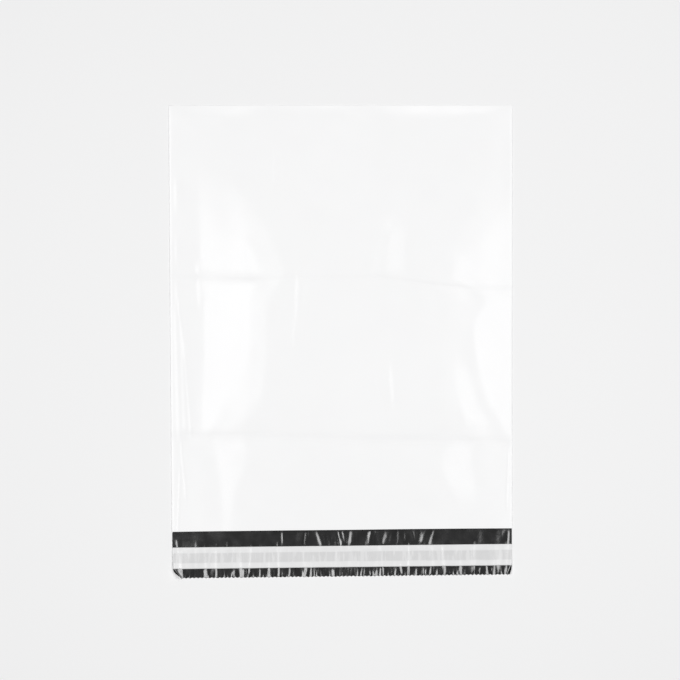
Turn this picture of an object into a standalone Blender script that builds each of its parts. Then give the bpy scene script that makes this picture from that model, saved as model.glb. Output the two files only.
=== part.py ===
"""Poly mailer bag lying face up on a table, in metres, +Z up.

One web of film is folded at the closed end and welded along both sides into a pocket. The rear panel runs on
past the mouth as the sealing flap, which carries a strip of adhesive under a peel-off release liner.
X runs across the bag, the closed end is at +Y and the flap at -Y. The origin is on the table, under the centre.
"""

import math

import bmesh
import bpy
from mathutils import Vector

# Cut sizes of the bag
BAG_WIDTH = 0.350
POCKET_LENGTH = 0.434
FLAP_LENGTH = 0.048
FILM_THICKNESS = 0.00006

# Side welds: a bead along each side, where the hot knife parts and joins the two panels
WELD_BEAD_WIDTH = 0.0008
WELD_OVERRUN = 0.001
FOLD_GAP = 0.0003

# Cut edge of the flap
TOOTH_PITCH = 0.004
TOOTH_DEPTH = 0.001
TOOTH_BACK = 0.0007

# Closure on the flap's inner face
LINER_HEIGHT = 0.022
LINER_FROM_EDGE = 0.0098
LINER_THICKNESS = 0.00005
ADHESIVE_HEIGHT = 0.010
ADHESIVE_THICKNESS = 0.0001
LAYER_GAP = 0.0003

# How the pocket stands open
POCKET_LOFT = 0.0112
MOUTH_GAPE = 0.0082
MOUTH_RAMP = 0.070
END_RAMP = 0.120
LEFT_RAMP = 0.085
RIGHT_RAMP = 0.120

# Creases left by folding the bag in three: distance from the closed end, fall from left to right, trough
CREASE_FROM_END = (0.177, 0.339)
CREASE_FALL = (0.006, 0.010)
CREASE_DEPTH = 0.0016
CREASE_SPREAD = 0.012

# How the flap lies: it rises a little to its cut edge, in soft pleats, and its sides curl up
FLAP_RISE = 0.0005
PLEAT_HEIGHT = 0.0004
PLEAT_PITCH = 0.031
FINE_PLEAT_HEIGHT = 0.0002
FINE_PLEAT_PITCH = 0.0137
CURL_RADIUS = 0.0032
LEFT_CURL = 0.004
RIGHT_CURL = 0.003
LEFT_CORNER_CURL = 0.0055
RIGHT_CORNER_CURL = 0.003
CORNER_HEIGHT = 0.011

# Mesh density
COLUMNS = 36
EDGE_CROWDING = 0.6
FLAP_COLUMNS_EACH = 3
FOLD_STEPS = 6
REAR_ROWS = 4
FRONT_ROWS = (11, 9, 8)
STRIP_ROWS = 1

# Worked out from the sizes above
FOLD_RADIUS = FOLD_GAP / 2 + FILM_THICKNESS
SIDE = BAG_WIDTH / 2
FILM_SIDE = SIDE - WELD_BEAD_WIDTH / 2
Y_FREE = -(POCKET_LENGTH + FLAP_LENGTH) / 2
Y_MOUTH = Y_FREE + FLAP_LENGTH
Y_CLOSED = Y_MOUTH + POCKET_LENGTH
Y_FOLD = Y_CLOSED - FOLD_RADIUS
EMBED = 0.4 * FILM_THICKNESS

WHITE_FILM = (0.90, 0.90, 0.905)
DARK_FILM = (0.035, 0.035, 0.037)
CLEAR_GLUE = (0.55, 0.55, 0.53)
PALE_LINER = (0.76, 0.76, 0.765)


def ramp(distance, length):
    """Round shoulder that climbs from 0 at an edge to 1 at this length."""
    return math.sin(math.pi / 2 * min(max(distance / length, 0.0), 1.0))


def smooth(fraction):
    """Soft step from 0 to 1."""
    t = min(max(fraction, 0.0), 1.0)
    return t * t * (3 - 2 * t)


def crease_line(index, x):
    """Y of one crease across the front panel, which falls a little from left to right."""
    return Y_CLOSED - CREASE_FROM_END[index] - CREASE_FALL[index] * x / BAG_WIDTH


def front_rise(x, y):
    """How far the front panel stands above the height of its welded edges."""
    across = ramp(SIDE + x, LEFT_RAMP) * ramp(SIDE - x, RIGHT_RAMP)
    mouth = smooth((y - Y_MOUTH) / MOUTH_RAMP)
    loft = MOUTH_GAPE + (POCKET_LOFT - MOUTH_GAPE) * mouth
    trough = sum(
        math.exp(-abs(y - crease_line(index, x)) / CREASE_SPREAD) for index in range(len(CREASE_FROM_END))
    )
    return across * ramp(Y_FOLD - y, END_RAMP) * (loft - CREASE_DEPTH * trough)


def front_point(x, y):
    return Vector((x, y, 2 * FOLD_RADIUS + front_rise(x, y)))


def rear_point(x, y):
    return Vector((x, y, 0.0))


def fold_point(x, angle):
    """Point on the closed fold, at this angle round from the rear panel."""
    return Vector((x, Y_FOLD + FOLD_RADIUS * math.sin(angle), FOLD_RADIUS * (1 - math.cos(angle))))


def curled(x, z, y, side, curl, corner_curl):
    """Rolls the flap's side edge up about a line that runs further in towards the cut edge."""
    along = max(Y_MOUTH - y, 0.0) / FLAP_LENGTH
    corner = smooth((Y_FREE + CORNER_HEIGHT - y) / CORNER_HEIGHT)
    past = side * x - (FILM_SIDE - curl * along - corner_curl * corner)
    if past <= 0:
        return x, z
    turned = past / CURL_RADIUS
    x_line = x - side * past
    return x_line + side * CURL_RADIUS * math.sin(turned), z + CURL_RADIUS * (1 - math.cos(turned))


def flap_point(x, y):
    """Point on the outer face of the flap."""
    along = max(Y_MOUTH - y, 0.0) / FLAP_LENGTH
    pleat = PLEAT_HEIGHT * (1 + math.sin(2 * math.pi * x / PLEAT_PITCH + 3 * along))
    fine = FINE_PLEAT_HEIGHT * (1 + math.sin(2 * math.pi * x / FINE_PLEAT_PITCH - 2 * along))
    z = smooth(along) * (FLAP_RISE + pleat + fine)
    x, z = curled(x, z, y, -1, LEFT_CURL, LEFT_CORNER_CURL)
    x, z = curled(x, z, y, 1, RIGHT_CURL, RIGHT_CORNER_CURL)
    return Vector((x, y, z))


def crowded(fraction):
    """Spreads 0 to 1 over 0 to 1, closer together at both ends."""
    return (1 - math.cos(math.pi * fraction)) / 2


def column_x(fraction):
    """X of a column of the film, closer together near the sides."""
    u = 2 * fraction - 1
    return FILM_SIDE * ((1 - EDGE_CROWDING) * u + EDGE_CROWDING * math.sin(math.pi / 2 * u))


def lines(start, end, steps):
    return [start + (end - start) * i / steps for i in range(steps)]


def liner_lines():
    """Y of the rows under the liner, which the flap, the adhesive and the liner share."""
    low = Y_FREE + LINER_FROM_EDGE
    high = low + LINER_HEIGHT
    middle = (low + high) / 2
    glue_low, glue_high = middle - ADHESIVE_HEIGHT / 2, middle + ADHESIVE_HEIGHT / 2
    return low, glue_low, glue_high, high


def front_row(upper, lower, fraction):
    """A row of the front panel between two lines that may slant."""

    def point(x):
        return front_point(x, upper(x) + (lower(x) - upper(x)) * fraction)

    return point


def web_rows():
    """Each row of the web as a function of x: flap, rear panel, closed fold, front panel."""
    low, glue_low, glue_high, high = liner_lines()
    trim = Y_FREE - TOOTH_DEPTH
    flap_y = [trim, *lines(Y_FREE + TOOTH_DEPTH + TOOTH_BACK, low, 3), low, glue_low]
    flap_y += [*lines(glue_low, glue_high, STRIP_ROWS)[1:], glue_high, *lines(high, Y_MOUTH, 2)]
    rows = [lambda x, y=y: flap_point(x, y) for y in flap_y]
    flap_rows = len(rows)
    rows += [lambda x, y=y: rear_point(x, y) for y in lines(Y_MOUTH, Y_FOLD, REAR_ROWS)]
    rows += [lambda x, a=a: fold_point(x, a) for a in lines(0, math.pi, FOLD_STEPS)]
    edges = [lambda x: Y_FOLD]
    edges += [lambda x, i=i: crease_line(i, x) for i in range(len(CREASE_FROM_END))]
    edges += [lambda x: Y_MOUTH]
    for upper, lower, count in zip(edges, edges[1:], FRONT_ROWS):
        rows += [front_row(upper, lower, crowded(i / count)) for i in range(count)]
    rows.append(lambda x: front_point(x, Y_MOUTH))
    return rows, flap_rows


def sheet_mesh(name, rows, fine_rows):
    """A grid bent to these rows, outer face out, with its columns cut finer over the first fine_rows."""
    bm = bmesh.new()
    bmesh.ops.create_grid(bm, x_segments=COLUMNS, y_segments=len(rows) - 1, size=1)
    for vertex in bm.verts:
        vertex.co.x = (vertex.co.x + 1) / 2
        vertex.co.y = round((vertex.co.y + 1) / 2 * (len(rows) - 1))
    across = [
        edge
        for edge in bm.edges
        if edge.verts[0].co.y == edge.verts[1].co.y and edge.verts[0].co.y < fine_rows
    ]
    bmesh.ops.subdivide_edges(bm, edges=across, cuts=FLAP_COLUMNS_EACH - 1, use_grid_fill=True)
    for vertex in bm.verts:
        vertex.co = rows[round(vertex.co.y)](column_x(vertex.co.x))
    bmesh.ops.reverse_faces(bm, faces=bm.faces)
    bm.normal_update()
    mesh = bpy.data.meshes.new(name)
    bm.to_mesh(mesh)
    bm.free()
    return mesh


def material(name, colour, roughness):
    made = bpy.data.materials.new(name)
    made.use_nodes = True
    shader = made.node_tree.nodes["Principled BSDF"]
    shader.inputs["Base Color"].default_value = (*colour, 1)
    shader.inputs["Roughness"].default_value = roughness
    shader.inputs["Metallic"].default_value = 0.0
    return made


def collection(name):
    made = bpy.data.collections.new(name)
    bpy.context.scene.collection.children.link(made)
    return made


def add_object(name, mesh, group, *materials):
    made = bpy.data.objects.new(name, mesh)
    group.objects.link(made)
    for each in materials:
        made.data.materials.append(each)
    return made


def helper(made):
    """A shape that only cuts or joins another one."""
    made.hide_render = True
    made.display_type = "WIRE"
    return made


def solidify(made, thickness):
    """Gives a sheet its thickness, on the inner side of the face it was modelled on."""
    wall = made.modifiers.new("film thickness", "SOLIDIFY")
    wall.thickness = thickness
    wall.offset = -1
    wall.use_even_offset = True
    return wall


def boolean(made, other, operation):
    step = made.modifiers.new(other.name, "BOOLEAN")
    step.operation = operation
    step.solver = "EXACT"
    step.object = other


def weld_beads(group):
    """The melted beads that join the front and rear panels along both sides."""
    low, high = EMBED, 2 * FOLD_RADIUS + EMBED
    start, end = Y_MOUTH - WELD_OVERRUN, Y_CLOSED - EMBED
    bm = bmesh.new()
    for side in (-1, 1):
        cube = bmesh.ops.create_cube(bm, size=1)["verts"]
        bmesh.ops.scale(bm, vec=(WELD_BEAD_WIDTH, end - start, high - low), verts=cube)
        centre = (side * (SIDE - WELD_BEAD_WIDTH / 2), (start + end) / 2, (low + high) / 2)
        bmesh.ops.translate(bm, vec=centre, verts=cube)
    mesh = bpy.data.meshes.new("weld_beads")
    bm.to_mesh(mesh)
    bm.free()
    return helper(add_object("weld_beads", mesh, group))


def tooth_cutter(group):
    """Everything past the zigzag line that the cutting knife leaves along the flap."""
    teeth = math.ceil(BAG_WIDTH / TOOTH_PITCH) + 2
    start = -(teeth + 0.5) * TOOTH_PITCH / 2
    below = Y_FREE - 4 * TOOTH_DEPTH
    height = 4 * CURL_RADIUS
    outline = [(start + i * TOOTH_PITCH / 2, Y_FREE + (i % 2) * TOOTH_DEPTH) for i in range(2 * teeth + 1)]
    outline += [(start + teeth * TOOTH_PITCH, below), (start, below)]
    bm = bmesh.new()
    corners = [bm.verts.new((x, y, -height / 2)) for x, y in outline]
    face = bm.faces.new(corners)
    raised = bmesh.ops.extrude_face_region(bm, geom=[face])
    moved = [item for item in raised["geom"] if isinstance(item, bmesh.types.BMVert)]
    bmesh.ops.translate(bm, vec=(0, 0, 1.5 * height), verts=moved)
    bmesh.ops.recalc_face_normals(bm, faces=bm.faces)
    mesh = bpy.data.meshes.new("tooth_cutter")
    bm.to_mesh(mesh)
    bm.free()
    return helper(add_object("tooth_cutter", mesh, group))


def film_bag(group, helpers):
    """The pocket and flap, in one folded and welded piece of film: white outside, dark inside."""
    rows, flap_rows = web_rows()
    white = material("white film", WHITE_FILM, 0.25)
    dark = material("dark film", DARK_FILM, 0.3)
    film = add_object("film_bag", sheet_mesh("film_bag", rows, flap_rows), group, white, dark)
    film.data.shade_smooth()
    wall = solidify(film, FILM_THICKNESS)
    wall.material_offset = 1
    boolean(film, tooth_cutter(helpers), "DIFFERENCE")
    boolean(film, weld_beads(helpers), "UNION")
    return film


def strip(name, y_values, above, thickness, group, finish):
    """A strip across the flap that follows it, this far above its inner face."""
    rows = [lambda x, y=y: flap_point(x, y) for y in y_values]
    mesh = sheet_mesh(name, rows, len(rows))
    lift = FILM_THICKNESS + above + thickness
    places = [vertex.co - vertex.normal * lift for vertex in mesh.vertices]
    for vertex, place in zip(mesh.vertices, places):
        vertex.co = place
    mesh.shade_smooth()
    made = add_object(name, mesh, group, finish)
    wall = solidify(made, thickness)
    wall.offset = 1
    return made


def closure(group):
    """The adhesive on the flap, and the liner that covers it until the bag is sealed."""
    low, glue_low, glue_high, high = liner_lines()
    glue_y = [*lines(glue_low, glue_high, STRIP_ROWS), glue_high]
    glue = material("clear adhesive", CLEAR_GLUE, 0.3)
    liner = material("pale liner", PALE_LINER, 0.35)
    strip("adhesive_strip", glue_y, LAYER_GAP, ADHESIVE_THICKNESS, group, glue)
    above = 2 * LAYER_GAP + ADHESIVE_THICKNESS
    strip("release_liner", [low, *glue_y, high], above, LINER_THICKNESS, group, liner)


def main():
    for old in list(bpy.data.objects):
        bpy.data.objects.remove(old, do_unlink=True)
    parts = collection("poly mailer bag")
    helpers = collection("cutters and joiners")
    film_bag(parts, helpers)
    closure(parts)


main()
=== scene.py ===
"""Looks of the poly mailer bag, which lies face up on a pale table with its sealing flap open.

The bag is one web of film, white outside and dark inside. Its closed end is at +Y and its flap at -Y.
All lengths are in metres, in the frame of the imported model.
"""

import math

import bmesh
import bpy
import numpy as np
from mathutils import Matrix, Vector


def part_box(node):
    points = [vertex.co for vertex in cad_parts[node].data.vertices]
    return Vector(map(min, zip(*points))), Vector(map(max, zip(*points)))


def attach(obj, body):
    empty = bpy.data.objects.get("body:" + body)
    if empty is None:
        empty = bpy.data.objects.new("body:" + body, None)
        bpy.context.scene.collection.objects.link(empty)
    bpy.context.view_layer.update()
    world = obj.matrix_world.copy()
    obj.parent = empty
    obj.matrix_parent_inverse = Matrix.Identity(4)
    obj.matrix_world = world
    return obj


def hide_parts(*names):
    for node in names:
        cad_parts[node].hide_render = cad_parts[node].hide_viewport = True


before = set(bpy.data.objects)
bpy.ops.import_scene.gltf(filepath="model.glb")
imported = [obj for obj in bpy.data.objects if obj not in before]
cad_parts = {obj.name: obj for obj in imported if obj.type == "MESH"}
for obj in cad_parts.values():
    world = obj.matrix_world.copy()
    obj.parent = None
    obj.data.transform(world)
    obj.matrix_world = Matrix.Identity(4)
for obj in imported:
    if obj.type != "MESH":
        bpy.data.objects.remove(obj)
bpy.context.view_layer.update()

# Sizes read from the frame
BAG_LOW, BAG_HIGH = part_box("film_bag")
LINER_LOW, LINER_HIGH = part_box("release_liner")
GLUE_LOW, GLUE_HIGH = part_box("adhesive_strip")
SIDE = BAG_HIGH[0]
Y_FREE = BAG_LOW[1]
Y_CLOSED = BAG_HIGH[1]

# Sizes of the film
FLAP_LENGTH = 0.048
FILM_THICKNESS = 0.00006
BEAD_WIDTH = 0.0008
FOLD_GAP = 0.0003
Y_MOUTH = Y_FREE + FLAP_LENGTH
POCKET_LENGTH = Y_CLOSED - Y_MOUTH
FILM_SIDE = SIDE - BEAD_WIDTH / 2
FOLD_RADIUS = FOLD_GAP / 2 + FILM_THICKNESS
Y_FOLD = Y_CLOSED - FOLD_RADIUS

# Front panel: distance from the closed end, height of the crest, and its x
CREST = ((0.006, 0.0, 0.0), (0.04, 0.0020, 0.0), (0.08, 0.0042, -0.020), (0.13, 0.0078, -0.040),
         (0.172, 0.0104, -0.055), (0.20, 0.0098, -0.045), (0.25, 0.0096, -0.030), (0.30, 0.0088, -0.020),
         (0.334, 0.0077, 0.0), (0.36, 0.0074, 0.0), (0.40, 0.0064, 0.0), (0.440, 0.0056, 0.0))
# Steeper stretches of the panel's slack sides: distance from the closed end, from x, to x, slope
LEFT_STRETCHES = (
    ((0.055, -0.146, -0.140, 0.0), (0.085, -0.145, -0.128, 0.040), (0.110, -0.145, -0.115, 0.060),
     (0.130, -0.144, -0.102, 0.070), (0.143, -0.143, -0.095, 0.130), (0.155, -0.144, -0.087, 0.138),
     (0.172, -0.145, -0.083, 0.142), (0.186, -0.143, -0.094, 0.145), (0.200, -0.140, -0.095, 0.155),
     (0.262, -0.140, -0.095, 0.150), (0.278, -0.140, -0.115, 0.148), (0.300, -0.141, -0.122, 0.145),
     (0.315, -0.142, -0.128, 0.130), (0.330, -0.143, -0.136, 0.100), (0.340, -0.143, -0.139, 0.0)),
    ((0.055, -0.140, -0.128, 0.0), (0.085, -0.128, -0.104, 0.050), (0.115, -0.112, -0.080, 0.065),
     (0.143, -0.095, -0.068, 0.074), (0.155, -0.087, -0.060, 0.086), (0.172, -0.083, -0.056, 0.090),
     (0.186, -0.094, -0.068, 0.080), (0.200, -0.095, -0.076, 0.080), (0.262, -0.095, -0.077, 0.075),
     (0.278, -0.115, -0.080, 0.088), (0.298, -0.122, -0.081, 0.080), (0.314, -0.128, -0.092, 0.064),
     (0.326, -0.131, -0.104, 0.032), (0.336, -0.132, -0.100, 0.030), (0.347, -0.131, -0.097, 0.058),
     (0.365, -0.128, -0.099, 0.060), (0.385, -0.125, -0.106, 0.064), (0.402, -0.1235, -0.113, 0.064),
     (0.434, -0.1235, -0.114, 0.058)),
)
RIGHT_STRETCHES = (
    ((0.090, 0.166, 0.174, 0.0), (0.125, 0.156, 0.174, 0.060), (0.140, 0.142, 0.174, 0.066),
     (0.155, 0.118, 0.174, 0.070), (0.172, 0.108, 0.174, 0.074), (0.181, 0.118, 0.174, 0.080),
     (0.190, 0.146, 0.174, 0.048), (0.200, 0.150, 0.174, 0.100), (0.210, 0.143, 0.174, 0.134),
     (0.222, 0.134, 0.174, 0.150), (0.265, 0.139, 0.174, 0.152), (0.300, 0.149, 0.174, 0.150),
     (0.330, 0.167, 0.174, 0.130), (0.340, 0.170, 0.174, 0.0)),
    ((0.252, 0.117, 0.123, 0.0), (0.272, 0.1145, 0.129, 0.092), (0.290, 0.117, 0.134, 0.100),
     (0.310, 0.122, 0.140, 0.100), (0.328, 0.128, 0.151, 0.084), (0.340, 0.118, 0.144, 0.034),
     (0.345, 0.110, 0.136, 0.034), (0.353, 0.103, 0.131, 0.058), (0.370, 0.100, 0.134, 0.064),
     (0.385, 0.107, 0.136, 0.068), (0.400, 0.116, 0.137, 0.066), (0.414, 0.122, 0.132, 0.010),
     (0.424, 0.125, 0.129, 0.0)),
    ((0.060, 0.150, 0.168, 0.0), (0.125, 0.128, 0.156, 0.038), (0.155, 0.100, 0.118, 0.036),
     (0.172, 0.090, 0.104, 0.030), (0.200, 0.108, 0.141, 0.034), (0.255, 0.100, 0.118, 0.034),
     (0.300, 0.098, 0.118, 0.030), (0.338, 0.098, 0.118, 0.0)),
)
# Rounding of the tables' bends along the bag, and how many samples of it make an average
STATION_ROUNDING, STATION_SAMPLES = 0.006, 5
# Rounding of the stretches' edges across the bag
STRETCH_EDGE = 0.0030
# The rest of the rise is even, and rounded over this length at the crest
CREST_ROUNDING = 0.020
# Waves and grooves start from nothing at the closed end and the sides, over these distances
FADE_FROM_END, FADE_FROM_SIDE = 0.012, 0.02
# The film's roll just inside the closed end: slope at the fold, how far in it reaches, and where it ends
END_ROLL_SLOPE, END_ROLL_REACH, END_ROLL_FADE = 0.05, 0.0045, 0.050
WIDE_ROLL_SLOPE, WIDE_ROLL_REACH, WIDE_ROLL_END = 0.110, 0.0110, 0.045
# The wide roll takes over outwards, from the first x of each pair to the second
RIGHT_ROLL_FROM, LEFT_ROLL_FROM = (0.035, 0.080), (-0.075, -0.110)
# Distance from the sides within which the roll fades
ROLL_SIDE_FADE = 0.045
# The film's roll just inside the side welds: height, reach, and how soon it starts from the closed end
SIDE_ROLL, SIDE_ROLL_REACH, SIDE_ROLL_FROM_END = 0.00018, 0.0008, 0.01
# How far the slack pulls back the middle of the hem at the mouth, and from which distance on
HEM_PULL, HEM_PULL_FROM = 0.0010, 0.36

# Creases of the folded bag: distance from the closed end at the left side and at the right, how much
# further the crease runs past its bend, depth of the valley around it, depth and half width of its groove
CREASES = ((0.1730, 0.1750, 0.0110, 0.0003, 0.00026, 0.0028),
           (0.334, 0.344, 0.0, 0.0003, 0.00026, 0.0046))
CREASE_SPREAD = 0.011
# A crease bends between these x
CREASE_BEND = (0.020, 0.135)
# Mark along each crease, its added roughness from wear and its darker colour painted shade: half width,
# strength, and its strength and widening across the left bulge
CREASE_WEAR_AND_SHADE = ((0.0048, 0.27, 0.55, 1.1), (0.0085, 0.41, 0.41, 0.0))
# How far the marks wander from their creases
MARK_WANDER = 0.004
# The left bulge lies between these x, with its edges blended
LEFT_BULGE, LEFT_BULGE_BLEND = (-0.140, -0.092), 0.018
# Waves and crumpling of the film: seed, shortest and longest wave, height, and how much more of it
# there is at places given by x, distance from the closed end, and radius
WAVES_IN_A_SUM = 14
WAVE_SEED, WAVE_LENGTHS, WAVE_HEIGHT = 5, (0.035, 0.110), 0.00009
CRUMPLE_SEED, CRUMPLE_LENGTHS, CRUMPLE_HEIGHT = 23, (0.014, 0.036), 0.00008
CRUMPLED_PLACES = ((-0.120, 0.172, 0.028, 1.3), (-0.060, 0.190, 0.020, 2.0), (0.140, 0.176, 0.028, 1.2),
                   (-0.150, 0.300, 0.035, 1.2), (0.140, 0.345, 0.030, 1.2), (-0.120, 0.345, 0.030, 1.2),
                   (-0.120, 0.110, 0.035, 0.4), (0.050, 0.145, 0.020, 1.4), (-0.090, 0.260, 0.030, 1.0))

# Lengthwise creases are ridges with one flank steeper than the other. Each is given by its x at either
# end, where it starts and ends (distance from the closed end on the panel, from the mouth on the flap),
# its half width at either end, its height as a share of the width, and its skew
PANEL_CREASES = (
    (-0.0680, -0.0680, 0.054, 0.072, 0.0040, 0.0040, 0.070, 0.5),
    (-0.0415, -0.0490, 0.188, 0.234, 0.0080, 0.0060, 0.074, 0.5),
    (-0.0440, -0.0465, 0.176, 0.196, 0.0080, 0.0056, 0.085, 0.5),
    (0.0480, 0.0420, 0.128, 0.164, 0.0150, 0.0185, 0.086, 0.19),
    (0.0465, 0.0490, 0.270, 0.298, 0.0080, 0.0065, 0.080, -0.5),
    (-0.1455, -0.1440, 0.168, 0.194, 0.0080, 0.0060, 0.060, 0.5),
    (-0.0992, -0.0985, 0.152, 0.162, 0.0030, 0.0030, 0.050, -0.5),
    (-0.1655, -0.1600, 0.205, 0.245, 0.0012, 0.0014, 0.20, -0.5),
    (-0.1600, -0.1540, 0.245, 0.325, 0.0014, 0.0020, 0.18, -0.5),
    (-0.1630, -0.1600, 0.228, 0.322, 0.0050, 0.0070, 0.050, 0.5),
    (-0.1690, -0.1665, 0.215, 0.330, 0.0046, 0.0060, 0.050, 0.5),
    (-0.1640, -0.1600, 0.350, 0.390, 0.0012, 0.0014, 0.17, -0.5),
    (-0.1665, -0.1690, 0.380, 0.434, 0.0012, 0.0012, 0.20, 0.5),
    (-0.1675, -0.1675, 0.086, 0.096, 0.0056, 0.0056, 0.055, 0.5),
    (-0.1675, -0.1675, 0.144, 0.152, 0.0050, 0.0050, 0.045, 0.5),
    (-0.1675, -0.1675, 0.184, 0.192, 0.0050, 0.0050, 0.045, 0.5),
    (0.1700, 0.1685, 0.366, 0.400, 0.0012, 0.0014, 0.20, 0.5),
)
PANEL_CREASE_FADE = 0.016
RIDGE_ROUNDING = 0.12

# The rear panel's waves, and the distances from its sides and ends over which they start
REAR_SEED, REAR_LENGTHS, REAR_HEIGHT = 17, (0.05, 0.14), 0.00012
REAR_FADE_SIDE, REAR_FADE_END = 0.04, 0.05

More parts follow.
